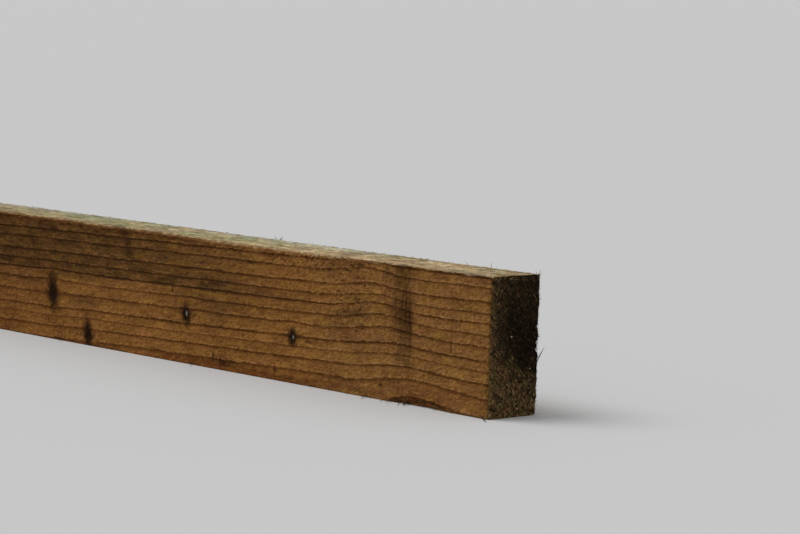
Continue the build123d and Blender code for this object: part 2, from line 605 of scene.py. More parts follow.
arrisHairs = {
    # from the end, reach along X, out of the front and up, width
    "lowerFront": (
        (128, 7.0, 9.5, -1.1, 0.40), (121, -5.0, 8.0, -0.9, 0.28), (106.5, 7.2, 9.5, -1.1, 0.36),
        (101.5, 7.0, 9.5, -1.2, 0.44), (92, 8.5, 9.5, -1.2, 0.46), (84.8, 7.8, 9.5, -1.1, 0.90),
        (7, 15.0, 9.0, -1.1, 1.00), (505, 19.0, 9.5, -1.1, 0.36), (329, 9.5, 9.0, -1.0, 0.32),
        (148, 4.0, 6.0, -0.6, 0.26), (52, 2.0, 6.0, -0.9, 0.36), (36, 3.0, 5.0, -0.8, 0.32),
        (760, -5.0, 8.0, -0.8, 0.3), (1210, 6.0, 7.0, -0.7, 0.3), (1950, -4.0, 9.0, -0.9, 0.3),
    ),
    # from the end, reach along X, out of the back and up, width
    "upperBack": (
        (286, -4.0, 0.8, 3.4, 0.46), (282, 3.0, 0.4, 2.8, 0.42), (278, -4.0, 0.4, 2.2, 0.36),
        (72, -5.0, 0.6, 3.0, 0.30), (49, 0.6, 0.4, 4.6, 0.34),
        (130, -4.0, 0.5, 1.0, 0.5), (124, 3.0, 0.5, 0.8, 0.5), (118, 4.0, 0.5, 0.8, 0.45),
        (1.2, 1.5, 0.8, 3.8, 0.36), (3.0, -2.0, 0.8, 2.6, 0.4), (0.8, 2.2, 1.6, 1.2, 0.36),
        (608, 2.0, 0.5, 1.4, 0.36), (500, 4.0, 0.5, 1.2, 0.32), (396, -2.0, 0.5, 1.0, 0.32),
        (348, 3.0, 0.5, 1.2, 0.32), (830, -5.0, 1.0, 2.0, 0.26), (1480, 5.0, 0.8, 2.4, 0.26),
        (2010, -4.0, 0.6, 2.0, 0.24),
    ),
    # height, reach along X, out of the back and up, width
    "backEnd": (
        (36.0, 1.5, 7.4, 13.5, 0.62), (38.5, 1.0, 3.2, 6.0, 0.34), (56.0, 1.0, 2.6, 1.6, 0.3),
        (54.0, 1.0, 2.2, -1.2, 0.3), (78.0, 1.2, 1.6, 1.0, 0.24), (85.0, 1.0, 1.4, -0.8, 0.24),
    ),
    "darkTone": 0.1,
    "paleTone": 0.68,
    "tearCount": 150,  # torn fibres under the lip of the hollow
    "tearWidth": (0.12, 0.3),
    "shortCount": 760,  # woolly ends along all four arrises
    "shortWidth": (0.12, 0.24),
    "frayedCount": 420,  # fibres that lie over the upper front arris
    "frayedLength": (1.2, 4.2),
    "frayedWidth": (0.08, 0.18),
    "seed": 37,
}


def addHair(bundle, rng, start, reach, width, tone):
    reach = np.array(reach) * mm
    length = float(np.linalg.norm(reach))
    growSliver(bundle, np.array(start), reach, rng.normal(0, 0.06, 3), length, width * mm, tone)


def addPlacedHairs(bundle, rng):
    for fromEnd, alongX, out, up, width in arrisHairs["lowerFront"]:
        inset = 0.4 + 3.4 * float(tearShare(fromEnd))
        start = (nearX - fromEnd * mm, frontY + inset * mm, baseZ + 1.6 * mm)
        addHair(bundle, rng, start, (alongX, -out - inset, up), width, arrisHairs["darkTone"])
    for fromEnd, alongX, out, up, width in arrisHairs["upperBack"]:
        start = (nearX - fromEnd * mm, backY - 0.6 * mm, topZ - 0.7 * mm)
        addHair(bundle, rng, start, (alongX, out, up), width, arrisHairs["paleTone"])
    for height, alongX, out, up, width in arrisHairs["backEnd"]:
        start = (nearX - 0.8 * mm, backY - 0.8 * mm, baseZ + height * mm)
        addHair(bundle, rng, start, (alongX, out, up), width, arrisHairs["darkTone"])


def addTearFibres(bundle, rng):
    halfTear = 0.48 * studSkin["tearLength"]
    for _ in range(arrisHairs["tearCount"]):
        fromEnd = studSkin["tearMiddle"] + rng.uniform(-halfTear, halfTear)
        share = float(tearShare(fromEnd))
        climb = rng.uniform(0.15, 0.95)
        rise = studSkin["tearRise"] * share * climb
        depth = studSkin["tearReach"] * share * (1 - climb) ** studSkin["tearSlope"]
        start = (nearX - fromEnd * mm, frontY + (depth + 0.9) * mm, baseZ + (0.4 + rise) * mm)
        reach = (rng.normal(0, 3.2), -rng.uniform(0.8, 2.2), -0.35 * rise)
        tone = rng.uniform(0.15, 0.55)
        addHair(bundle, rng, start, reach, rng.uniform(*arrisHairs["tearWidth"]), tone)


def addShortHairs(bundle, rng):
    for _ in range(arrisHairs["shortCount"]):
        x = nearX - studLength * rng.random() ** 1.6 * mm
        side = rng.integers(4)
        front, upper = side < 2, side % 2 == 1
        y = frontY + 0.5 * mm if front else backY - 0.5 * mm
        out = rng.uniform(0.5, 1.2) * (-1 if front else 1)
        z = topZ - 0.6 * mm if upper else baseZ + 0.9 * mm
        up = rng.uniform(0.2, 1.1) if upper else rng.uniform(-0.5, 0.3)
        tone = rng.uniform(0.55, 1.0) if upper else rng.uniform(0.2, 0.6)
        reach = (rng.normal(0, 2.2), out, up)
        addHair(bundle, rng, (x, y, z), reach, rng.uniform(*arrisHairs["shortWidth"]), tone)


def addFrayedFibres(bundle, rng):
    for _ in range(arrisHairs["frayedCount"]):
        fromEnd = rng.uniform(30, 640) if rng.random() < 0.7 else rng.uniform(640, studLength - 10)
        below = 0.3 + rng.exponential(0.9)
        if fromEnd < 150 and rng.random() < 0.75:  # fewer near the end
            continue
        tone = np.clip(rng.normal(0.92 - 0.10 * below, 0.10), 0.66, 1.0)
        start = (nearX - fromEnd * mm, frontY + 0.3 * mm, topZ - below * mm)
        alongX = rng.uniform(*arrisHairs["frayedLength"]) * rng.choice((-1, 1), p=(0.3, 0.7))
        reach = (alongX, -rng.uniform(0.35, 0.7), rng.uniform(0.0, 0.7))
        addHair(bundle, rng, start, reach, rng.uniform(*arrisHairs["frayedWidth"]), tone)


def makeArrisHairs():
    rng = np.random.default_rng(arrisHairs["seed"])
    bundle = newBundle()
    for step in (addPlacedHairs, addTearFibres, addShortHairs, addFrayedFibres):
        step(bundle, rng)
    return bundleToPiece("arrisHairs", bundle)


faceFibres = {
    "frontCount": 4200,
    "backCount": 1800,
    "upperCount": 3000,
    "tornCount": 300,  # longer ones where the grain swirls
    "length": (1.6, 4.6),
    "upperLength": (3.0, 9.0),
    "tornLength": (2.5, 6.5),
    "width": (0.08, 0.20),
    "upperWidth": (0.12, 0.36),
    "tornWidth": (0.15, 0.4),
    # tones over 0 are paler than the wood below, and tones under 0 are darker
    "tones": (-0.25, 0.45),
    "tornTones": ((0.3, 1.0), (-0.6, -0.2)),
    "upperTones": ((0.0, 0.42), (-0.5, -0.2)),
    "tornPaleShare": 0.5,
    "upperPaleShare": 0.72,
    "crowding": 1.6,  # above 1 they lie closer together towards the near end
    "lift": (0.02, 0.16),
    "rise": 20,  # lean of the wool up towards the near end, in degrees
    "edgeShare": 0.5,  # share of the upper ones that lie beside its two arrises
    "seed": 53,
}


def paleOrDark(rng, kind):
    paleTones, darkTones = faceFibres[kind + "Tones"]
    return rng.uniform(*(paleTones if rng.random() < faceFibres[kind + "PaleShare"] else darkTones))


def addWool(bundle, rng, count, y, outY):
    # woolly fibres on a wide face
    for _ in range(count):
        fromEnd = 4 + (studLength - 12) * rng.random() ** faceFibres["crowding"]
        z = rng.uniform(baseZ + 7 * mm, topZ - 2 * mm)
        start = np.array([nearX - fromEnd * mm, y - outY * 0.15 * mm, z])
        lean = math.radians(rng.normal(faceFibres["rise"], 14))
        way = np.array([math.cos(lean), outY * rng.uniform(*faceFibres["lift"]), math.sin(lean)])
        length = min(rng.uniform(*faceFibres["length"]), fromEnd) * mm
        width = rng.uniform(*faceFibres["width"]) * mm
        bend = rng.normal(0, 0.05, 3)
        tone = rng.uniform(*faceFibres["tones"])
        growSliver(bundle, start, way, bend, length, width, tone)


def addTornFibres(bundle, rng):
    for _ in range(faceFibres["tornCount"]):
        fromEnd = rng.normal(145, 22)
        height = studHeight - 62 * rng.random() ** 1.3
        start = np.array([nearX - fromEnd * mm, frontY + 0.2 * mm, baseZ + height * mm])
        lean = math.radians(rng.normal(4, 16))
        out = rng.uniform(0.05, 0.28)
        alongSign, _, upSign = rng.choice((-1, 1), 3)
        way = np.array([alongSign * math.cos(lean), -out, upSign * math.sin(lean)])
        length = rng.uniform(*faceFibres["tornLength"]) * mm
        tone = paleOrDark(rng, "torn")
        bend = rng.normal(0, 0.08, 3)
        width = rng.uniform(*faceFibres["tornWidth"]) * mm
        growSliver(bundle, start, way, bend, length, width, tone)


def makeWideFibres():
    rng = np.random.default_rng(faceFibres["seed"])
    bundle = newBundle()
    addWool(bundle, rng, faceFibres["frontCount"], frontY, -1)
    addWool(bundle, rng, faceFibres["backCount"], backY, 1)
    addTornFibres(bundle, rng)
    fibres = bundleToPiece("wideFibres", bundle)
    storeGrain(fibres, ringPhase(np.array(bundle.points)))
    return fibres


def makeUpperFibres():
    rng = np.random.default_rng(faceFibres["seed"] + 1)
    bundle = newBundle()
    for _ in range(faceFibres["upperCount"]):
        fromEnd = 6 + (studLength - 16) * rng.random() ** faceFibres["crowding"]
        y = rng.uniform(frontY + 0.6 * mm, backY - 0.6 * mm)
        if rng.random() < faceFibres["edgeShare"]:
            fromArris = (0.5 + rng.exponential(1.4)) * mm
            y = frontY + fromArris if rng.random() < 0.6 else backY - fromArris
        start = np.array([nearX - fromEnd * mm, y, topZ - 0.6 * mm])
        alongX = 1 if rng.random() < 0.5 else -1
        steep = 0.20 - 0.14 * easeIn(y / mm, -4, 12)
        way = np.array([alongX, rng.normal(0, 0.14), rng.uniform(0.02, steep)])
        length = min(rng.uniform(*faceFibres["upperLength"]), fromEnd) * mm
        width = rng.uniform(*faceFibres["upperWidth"]) * mm
        tone = paleOrDark(rng, "upper")
        if tone < 0:  # no dark ones beside the front arris, and weaker ones far off
            tone *= easeIn(y, frontY + 2 * mm, frontY + 9 * mm) * (1 - 0.5 * easeIn(fromEnd, 250, 500))
        growSliver(bundle, start, way, np.array([0, rng.normal(0, 0.06), -0.06]), length, width, tone)
    fibres = bundleToPiece("upperFibres", bundle)
    storeGrain(fibres, ringPhase(np.array(bundle.points)))
    return fibres


# Node tools

def feed(tree, socket, value):
    if isinstance(value, bpy.types.NodeSocket):
        tree.links.new(value, socket)
    else:
        socket.default_value = value


def calc(operation, tree, first, second=0.0, third=0.0, clamp=False):
    node = tree.nodes.new("ShaderNodeMath")
    node.operation = operation
    node.use_clamp = clamp
    for socket, value in zip(node.inputs, (first, second, third)):
        feed(tree, socket, value)
    return node.outputs[0]


plus = partial(calc, "ADD")
minus = partial(calc, "SUBTRACT")
times = partial(calc, "MULTIPLY")
timesPlus = partial(calc, "MULTIPLY_ADD")  # first times second, plus third
larger = partial(calc, "MAXIMUM")
smaller = partial(calc, "MINIMUM")
fraction = partial(calc, "FRACT")


def ease(tree, value, low, high, fromShare=0.0, toShare=1.0):
    node = tree.nodes.new("ShaderNodeMapRange")
    node.interpolation_type = "SMOOTHSTEP"
    for socket, number in zip(node.inputs, (value, low, high, fromShare, toShare)):
        feed(tree, socket, number)
    return node.outputs["Result"]


def band(tree, value, low, high, soft):
    rising = ease(tree, value, low - soft, low + soft)
    falling = ease(tree, value, high - soft, high + soft, 1.0, 0.0)
    return times(tree, rising, falling)


def paint(tree, amount, under, over, mode="MIX"):
    node = tree.nodes.new("ShaderNodeMix")
    node.data_type = "RGBA"
    node.blend_type = mode
    for socket, value in ((node.inputs[0], amount), (node.inputs[6], under), (node.inputs[7], over)):
        feed(tree, socket, value if isinstance(value, (bpy.types.NodeSocket, float)) else (*value, 1.0))
    return node.outputs[2]


def dim(tree, colour, shade):
    node = tree.nodes.new("ShaderNodeVectorMath")
    node.operation = "SCALE"
    feed(tree, node.inputs[0], colour)
    feed(tree, node.inputs["Scale"], shade)
    return node.outputs["Vector"]


def ramp(tree, value, stops):
    node = tree.nodes.new("ShaderNodeValToRGB")
    feed(tree, node.inputs[0], value)
    elements = node.color_ramp.elements
    while len(elements) < len(stops):
        elements.new(0.5)
    for element, (place, colour) in zip(elements, stops):
        element.position = place
        element.color = (*colour, 1.0)
    return node.outputs["Color"]


def blotches(tree, place, cell, turn=(0, 0, 0), detail=2.0, rough=0.5):
    # noise with one blotch for each cell (mm), turned first
    mapping = tree.nodes.new("ShaderNodeMapping")
    mapping.vector_type = "TEXTURE"
    mapping.inputs["Rotation"].default_value = [math.radians(angle) for angle in turn]
    mapping.inputs["Scale"].default_value = [size * mm for size in cell]
    tree.links.new(place, mapping.inputs["Vector"])
    noise = tree.nodes.new("ShaderNodeTexNoise")
    noise.inputs["Scale"].default_value = 1.0
    noise.inputs["Detail"].default_value = detail
    noise.inputs["Roughness"].default_value = rough
    tree.links.new(mapping.outputs["Vector"], noise.inputs["Vector"])
    return noise.outputs["Fac"]


def stored(tree, name):
    node = tree.nodes.new("ShaderNodeAttribute")
    node.attribute_name = name
    return node.outputs["Fac"]


def nearestMark(tree, fromEnd, height, marks, grow=(1.0, 1.0), lean=0.0):
    # how far the nearest mark is, where 1 is its outline
    nearest = None
    leaned = timesPlus(tree, height, -lean, fromEnd) if lean else fromEnd
    for place, markHeight, halfWidth, halfHeight in marks:
        wide, tall = halfWidth * grow[0], halfHeight * grow[1]
        along = timesPlus(tree, leaned, 1 / wide, (lean * markHeight - place) / wide)
        up = timesPlus(tree, height, 1 / tall, -markHeight / tall)
        upSquare = times(tree, up, up)
        away = calc("SQRT", tree, timesPlus(tree, along, along, upSquare))
        nearest = away if nearest is None else smaller(tree, nearest, away)
    return nearest


def newFinish(name, shine):
    material = bpy.data.materials.new(name)
    material.use_nodes = True
    tree = material.node_tree
    shader = tree.nodes["Principled BSDF"]
    shader.inputs["Specular IOR Level"].default_value = shine
    return material, tree, shader


def roughen(tree, shader, noise, least, spread):
    tree.links.new(timesPlus(tree, noise, spread, least, clamp=True), shader.inputs["Roughness"])


def raiseBump(tree, shader, height, depth):
    bump = tree.nodes.new("ShaderNodeBump")
    bump.inputs["Strength"].default_value = 1.0
    bump.inputs["Distance"].default_value = depth * mm
    tree.links.new(height, bump.inputs["Height"])
    tree.links.new(bump.outputs["Normal"], shader.inputs["Normal"])


def woodField(tree):
    # places on the wood in mm, with the ring number there
    place = tree.nodes.new("ShaderNodeTexCoord").outputs["Object"]
    split = tree.nodes.new("ShaderNodeSeparateXYZ")
    tree.links.new(place, split.inputs[0])
    return SimpleNamespace(
        tree=tree,
        place=place,
        fromEnd=timesPlus(tree, split.outputs["X"], -1 / mm, nearX / mm),
        through=times(tree, split.outputs["Y"], 1 / mm),
        height=times(tree, split.outputs["Z"], 1 / mm),
        phase=stored(tree, "ringPhase"),
        tone=plus(tree, stored(tree, "fibreTone"), 1.0),  # over 1 on pale fibres, under 1 on dark ones
    )


# Sawn wide faces and the underside

sawnFace = {
    "earlywood": (0.2215, 0.0960, 0.0250),
    "midwood": (0.172, 0.0690, 0.0175),
    "latewood": (0.058, 0.0185, 0.0030),
    "yellow": (0.238, 0.1150, 0.0235),
    "pink": (0.213, 0.0870, 0.0285),
    "paleEdgeHighlight": (0.265, 0.1280, 0.0420),  # painted highlight: thin pale line over each ring line, where its raised edge catches the light
    "woolDark": (0.69, 0.62, 0.49),
    "woolPale": (1.30, 1.37, 1.56),
    "paleFibre": (0.330, 0.1820, 0.0740),
    "cream": (0.440, 0.3080, 0.1640),  # frayed fibres at the upper arrises
    "rubbed": (0.225, 0.1060, 0.0340),  # just below them
    "dirtTint": (0.348, 0.397, 0.470),  # what is left of each colour under the dirt
    "cleanTint": (1.14, 1.17, 1.17),
    "farTint": (0.86, 0.83, 0.83),  # darker away from the near end
    "ruddyTint": (0.95, 0.87, 0.93),  # the lowest ring near the end
    "redTint": (0.66, 0.51, 0.50),
    "lowLightTint": (1.20, 1.28, 1.34),  # painted light: lightens the last few mm above the lower arrises, against the shade next to the floor
    "stainTint": (0.20, 0.18, 0.20),
    "endTint": (0.42, 0.48, 0.46),  # end colour that creeps round the arris
    # painted shadow under the upper arrises and along the lip of the torn hollow
    "lipShadeTint": (0.30, 0.26, 0.26),
    # painted light that lifts the torn hollow out of its shade
    "tornLightTint": (1.32, 1.21, 1.18),
    "nearTint": (0.97, 1.03, 1.14),  # a little greyer towards the near end
    "knot": (0.0120, 0.0065, 0.0035),
    "knotRim": (0.036, 0.0145, 0.0048),
    "knotHeart": (0.16, 0.165, 0.125),
    "dirtRing": 7.0,  # lines above the lowest one, where the dirt begins
    "tornSwirl": (118, 178),  # from the end, where the swirl is torn
    "shaggyStrip": (165, 330),  # from the end, where wood hangs loose under the upper arris
    # the upright stain, from the end: near side, far side and the far side of its heavy part
    "stainNear": (76.5, 82.5),
    "stainFar": (106, 88),
    "stainHeavy": (103, 97),
    "stainHeavyHeights": (52, 73),
    # patches on the front, with the same four values as the knots
    "soiledMarks": (
        (302, 50, 70, 19), (345, 56, 24, 6), (315, 61, 25, 5), (236, 63, 64, 7.5), (212, 3, 46, 3.5),
        (142, 60, 22, 5), (500, 86, 90, 4.2), (560, 47, 60, 6), (495, 54, 70, 4), (405, 54, 20, 4),
        (470, 35, 38, 6), (350, 30, 16, 6), (138, 5, 16, 4), (108, 94, 8, 6), (8, 95, 10, 4),
    ),
    "grimeMarks": ((330, 55, 30, 5), (300, 62.5, 34, 7), (470, 86.5, 42, 3.5), (285, 6, 16, 4)),
    "cleanMarks": (
        (110, 27, 125, 8), (68, 86, 20, 5), (165, 31, 20, 16), (378, 79, 24, 10), (582, 71, 26, 9),
        (465, 71, 16, 5), (556, 95, 60, 5), (92, 6, 17, 6), (28, 4, 30, 4),
    ),
    "ruddyMarks": ((46, 11.5, 54, 7),),
    "knotLean": 0.12,  # knots lean away from the near end
    "knotHearts": ((337.0, 39.2, 1.5, 2.6), (209.4, 34.8, 1.4, 1.8)),
    "specks": (
        (111, 11, 1.8, 1.8), (229, 8, 2.2, 1.8), (303, 10, 1.6, 4.6), (294, 8, 1.8, 2.6),
        (260, 86, 5.0, 1.2), (136, 63, 2.2, 1.4), (133, 52, 2.2, 1.2), (418, 96, 8.0, 4.5),
        (413, 87, 5.0, 5.0), (410, 80, 4.0, 2.6), (512, 91, 6.0, 3.0), (575, 61, 8.0, 3.2),
        (355, 56, 1.6, 3.0), (318, 64, 5.0, 1.6), (513, 52.5, 8.0, 3.6), (455, 93, 4.0, 1.4),
        (191, 33, 6.0, 1.5), (268, 30, 1.6, 1.4), (39, 46, 0.7, 5.0), (171, 89.3, 2.4, 1.6),
        (150, 90.5, 3.6, 0.9), (138, 95.5, 6.0, 1.6), (131, 81, 1.5, 1.2), (160, 74, 2.6, 0.8),
        (157, 72, 2.2, 0.7), (155, 82, 2.4, 0.9), (138, 47, 1.8, 1.1),
    ),
    "shine": 0.02,
    "roughness": (0.74, 0.25),
    "bump": 0.7,
}


def sawnField(tree):
    wood = woodField(tree)
    wood.streaks = blotches(tree, wood.place, (15, 0.8, 0.8), detail=3.0, rough=0.6)
    wood.wool = blotches(tree, wood.place, (3.2, 1.2, 1.2), turn=(0, -24, 0), detail=3.0, rough=0.6)
    wood.patches = blotches(tree, wood.place, (34, 12, 12))
    wood.tints = blotches(tree, wood.place, (15, 5, 5), turn=(0, -22, 0))
    wood.onFront = ease(tree, wood.through, -20, -22)
    # torn part of the swirl
    wood.flecks = blotches(tree, wood.place, (4.0, 1.0, 1.0), turn=(0, -6, 0), detail=3.0, rough=0.6)
    swirl = band(tree, wood.fromEnd, *sawnFace["tornSwirl"], 14.0)
    swirl = times(tree, swirl, ease(tree, wood.height, 38, 62, 0.1, 1.0))
    wood.swirl = times(tree, swirl, wood.onFront)
    # growth rings, dark towards 1
    shifted = timesPlus(tree, wood.streaks, 0.10, wood.phase)
    shifted = timesPlus(tree, wood.wool, 0.12, shifted)
    ragged = blotches(tree, wood.place, (9.0, 3.0, 3.0), turn=(0, -16, 0))
    shifted = timesPlus(tree, ragged, 0.20, shifted)
    wood.ring = fraction(tree, minus(tree, shifted, 0.34))
    saw = blotches(tree, wood.place, (1.9, 40, 26), turn=(0, 4, 0))
    sawShare = ease(tree, wood.fromEnd, 190, 90, 0.25, 0.60)
    wood.sawLines = times(tree, minus(tree, saw, 0.5), sawShare)
    return wood


def ringColour(wood):
    # each ring is soft on its inner side, below, and has a hard edge above with a painted highlight on
    # it
    tree, colours = wood.tree, sawnFace
    colour = ramp(tree, wood.ring, (
        (0.0, colours["midwood"]), (0.03, colours["paleEdgeHighlight"]), (0.16, colours["earlywood"]),
        (0.56, colours["earlywood"]), (0.78, colours["midwood"]), (0.87, colours["latewood"]),
        (0.965, colours["latewood"]), (1.0, colours["midwood"]),
    ))
    faint = ease(tree, blotches(tree, wood.place, (18, 5, 5)), 0.48, 0.68, 0.0, 0.36)
    fullStrength = ease(tree, wood.fromEnd, 250, 520, 1.0, 1.12)
    weak = minus(tree, fullStrength, stored(tree, "lineStrength"))
    broken = times(tree, wood.swirl, ease(tree, wood.flecks, 0.54, 0.40, 0.0, 0.5))
    weak = larger(tree, weak, broken)
    colour = paint(tree, larger(tree, faint, weak), colour, colours["earlywood"])
    early = ease(tree, wood.ring, 0.86, 0.62)
    yellow = times(tree, ease(tree, wood.tints, 0.48, 0.66, 0.0, 0.75), early)
    pink = times(tree, ease(tree, wood.tints, 0.46, 0.34, 0.0, 0.55), early)
    colour = paint(tree, yellow, colour, colours["yellow"])
    return paint(tree, pink, colour, colours["pink"])


def shadeWool(wood, colour):
    # woolly fibres, pale tips and upright saw lines
    tree = wood.tree
    tint = paint(tree, ease(tree, wood.wool, 0.28, 0.72), sawnFace["woolDark"], sawnFace["woolPale"])
    colour = paint(tree, 1.0, colour, tint, "MULTIPLY")
    shade = ease(tree, wood.streaks, 0.25, 0.75, 0.81, 1.19)
    shade = times(tree, shade, ease(tree, wood.patches, 0.25, 0.75, 0.82, 1.18))
    shade = times(tree, shade, plus(tree, wood.sawLines, 1.0))
    colour = dim(tree, colour, times(tree, shade, wood.tone))
    tips = ease(tree, times(tree, wood.wool, wood.streaks), 0.34, 0.44, 0.0, 0.5)
    colour = paint(tree, tips, colour, sawnFace["paleFibre"])
    return paint(tree, ease(tree, wood.fromEnd, 230, 130), colour, sawnFace["nearTint"], "MULTIPLY")


def markPatch(wood, marks, outer, inner, most=1.0):
    # uneven patches over marks on the front
    tree = wood.tree
    away = nearestMark(tree, wood.fromEnd, wood.height, sawnFace[marks])
    away = timesPlus(tree, wood.tints, 0.8, away)
    return times(tree, ease(tree, away, outer, inner, 0.0, most), wood.onFront)


def dirtShare(wood):
    # dirt follows the rings, mostly high up and away from the near end, and lies in patches
    tree = wood.tree
    dirtRing = firstLine + sawnFace["dirtRing"]
    start = timesPlus(tree, wood.patches, 160.0, minus(tree, wood.fromEnd, 80.0))
    streak = ease(tree, wood.phase, dirtRing + 1.0, dirtRing + 2.2, 1.0, 0.55)
    streak = times(tree, streak, ease(tree, wood.phase, dirtRing - 0.30, dirtRing))
    streak = times(tree, streak, ease(tree, start, 200, 320))
    upper = ease(tree, wood.phase, dirtRing + 0.4, dirtRing + 1.6)
    upper = times(tree, upper, ease(tree, start, 190, 420))
    below = ease(tree, wood.phase, dirtRing - 0.8, dirtRing - 0.1)
    below = times(tree, below, ease(tree, start, 400, 520, 0.0, 0.65))
    dirt = larger(tree, larger(tree, streak, upper), below)
    soiled = markPatch(wood, "soiledMarks", 1.6, 0.4, 0.6)
    soiled = larger(tree, soiled, markPatch(wood, "grimeMarks", 1.7, 0.6, 0.9))
    dirt = larger(tree, dirt, timesPlus(tree, dirt, 0.5, soiled))
    mottle = blotches(tree, wood.place, (2.2, 1.5, 1.5))
    dirt = times(tree, dirt, ease(tree, mottle, 0.32, 0.68, 0.80, 1.20))
    dirt = times(tree, dirt, ease(tree, wood.wool, 0.25, 0.6, 0.62, 1.0))
    dirt = times(tree, dirt, ease(tree, wood.fromEnd, 640, 900, 0.86, 0.5))
    smears = blotches(tree, wood.place, (24, 8, 6), detail=4.0, rough=0.65)
    return times(tree, dirt, ease(tree, smears, 0.34, 0.64, 0.62, 1.30), clamp=True)


def addDirt(wood, colour):
    # dirt leaves the ring lines in view, clean and ruddy patches come next, and specks over all
    tree, colours = wood.tree, sawnFace
    dirt = dirtShare(wood)
    colour = paint(tree, dirt, colour, colours["dirtTint"], "MULTIPLY")
    lined = times(tree, band(tree, wood.ring, 0.85, 0.97, 0.05), times(tree, dirt, 0.9))
    colour = paint(tree, lined, colour, colours["knotRim"])
    # darker away from the near end
    colour = paint(tree, ease(tree, wood.fromEnd, 430, 580), colour, colours["farTint"], "MULTIPLY")
    clean = markPatch(wood, "cleanMarks", 1.6, 0.4)
    colour = paint(tree, clean, colour, colours["cleanTint"], "MULTIPLY")
    ruddy = markPatch(wood, "ruddyMarks", 1.6, 0.9)
    colour = paint(tree, ruddy, colour, colours["ruddyTint"], "MULTIPLY")
    specks = ease(tree, blotches(tree, wood.place, (5.0, 1.5, 1.5), detail=3.0), 0.51, 0.64, 0.0, 0.66)
    specks = times(tree, specks, larger(tree, dirt, 0.12))
    return paint(tree, specks, colour, colours["knotRim"])


def addArrisColours(wood, colour):
    # red-brown strips beside the arrises, then a painted shadow line and frayed cream fibres at the
    # upper ones, and painted light just above the lower ones
    tree, colours = wood.tree, sawnFace
    lower = timesPlus(tree, wood.height, 0.9, ease(tree, wood.fromEnd, 330, 420, 0.0, 4.0))
    away = smaller(tree, minus(tree, studHeight, wood.height), lower)
    away = timesPlus(tree, wood.tints, 9.0, away)
    along = ease(tree, wood.fromEnd, 110, 230, 0.25, 0.9)
    red = times(tree, ease(tree, away, 12.5, 7.0), along)
    colour = paint(tree, red, colour, colours["redTint"], "MULTIPLY")
    frayed = blotches(tree, wood.place, (6, 1.6, 1.6), detail=3.0)
    edge = timesPlus(tree, frayed, 4.6, wood.height)
    # painted shadow under the upper arris, near the end
    shadow = ease(tree, edge, 99.0, 100.6)
    shadow = times(tree, shadow, ease(tree, wood.fromEnd, 230, 120, 0.0, 0.62))
    colour = paint(tree, shadow, colour, colours["lipShadeTint"], "MULTIPLY")
    # painted light over the last few mm above the lower arrises
    colour = paint(tree, ease(tree, wood.height, 4.5, 1.0), colour, colours["lowLightTint"], "MULTIPLY")
    frayedMost = plus(tree, band(tree, wood.fromEnd, *colours["shaggyStrip"], 25.0), edge)
    frayedMost = plus(tree, frayedMost, ease(tree, wood.fromEnd, 60, 120, -0.9, 0.3))
    worn = ease(tree, wood.fromEnd, 90, 170, 0.1, 1.0)
    rubbed = times(tree, ease(tree, frayedMost, 98.8, 101.4, 0.0, 0.75), worn)
    colour = paint(tree, rubbed, colour, colours["rubbed"])
    cream = times(tree, ease(tree, frayedMost, 100.6, 102.6, 0.0, 0.9), worn)
    return paint(tree, cream, colour, colours["cream"])


def addStain(wood, colour):
    # upright shadow, heaviest above the middle, with fine saw lines in it
    tree = wood.tree
    lines = blotches(tree, wood.place, (1.1, 60, 16))
    high = ease(tree, wood.height, 62, 98)
    nearStart, nearFull = sawnFace["stainNear"]
    nearSide = ease(tree, wood.fromEnd, nearStart, timesPlus(tree, high, 4.0, nearFull))
    across = timesPlus(tree, wood.tints, 5.0, minus(tree, wood.fromEnd, 2.5))
    farStop, farFull = sawnFace["stainFar"]
    light = ease(tree, across, farStop, timesPlus(tree, high, 9.0, farFull))
    light = times(tree, light, ease(tree, wood.height, 14, 58, 0.20, 0.53))
    light = times(tree, light, ease(tree, lines, 0.36, 0.62, 0.80, 1.18))
    columns = blotches(tree, wood.place, (3.0, 80, 22), detail=2.0)
    light = times(tree, light, ease(tree, columns, 0.34, 0.66, 0.74, 1.22))
    heavy = ease(tree, across, *sawnFace["stainHeavy"])
    heavy = times(tree, heavy, band(tree, wood.height, *sawnFace["stainHeavyHeights"], 7.0))
    heavy = times(tree, heavy, ease(tree, lines, 0.36, 0.62, 0.20, 0.28))
    stain = times(tree, plus(tree, heavy, light), nearSide, clamp=True)
    stain = times(tree, stain, wood.onFront)
    return paint(tree, stain, colour, sawnFace["stainTint"], "MULTIPLY")


def addFlecks(wood, colour):
    # torn flecks where the grain swirls
    tree = wood.tree
    wood.fleck = times(tree, wood.swirl, ease(tree, wood.flecks, 0.60, 0.72, 0.0, 0.7))
    pale = times(tree, wood.swirl, ease(tree, wood.flecks, 0.40, 0.31, 0.0, 0.5))
    colour = paint(tree, pale, colour, sawnFace["paleFibre"])
    return paint(tree, wood.fleck, colour, sawnFace["knotRim"])


def addShaggyStrip(wood, colour):
    # loose wood under the upper arris
    tree = wood.tree
    strokes = blotches(tree, wood.place, (4.2, 1.4, 1.4), turn=(0, -32, 0), detail=2.0, rough=0.6)
    shaggy = band(tree, wood.fromEnd, *sawnFace["shaggyStrip"], 35.0)
    shaggy = times(tree, shaggy, ease(tree, wood.height, 80, 91))
    shaggy = times(tree, shaggy, ease(tree, wood.fromEnd, 200, 260, 1.0, 0.5))
    shaggy = times(tree, shaggy, wood.onFront)
    pale = times(tree, shaggy, ease(tree, strokes, 0.46, 0.36, 0.0, 0.4))
    dark = times(tree, shaggy, ease(tree, strokes, 0.53, 0.66, 0.0, 0.8))
    colour = paint(tree, pale, colour, sawnFace["paleFibre"])
    return paint(tree, dark, colour, sawnFace["knotRim"])


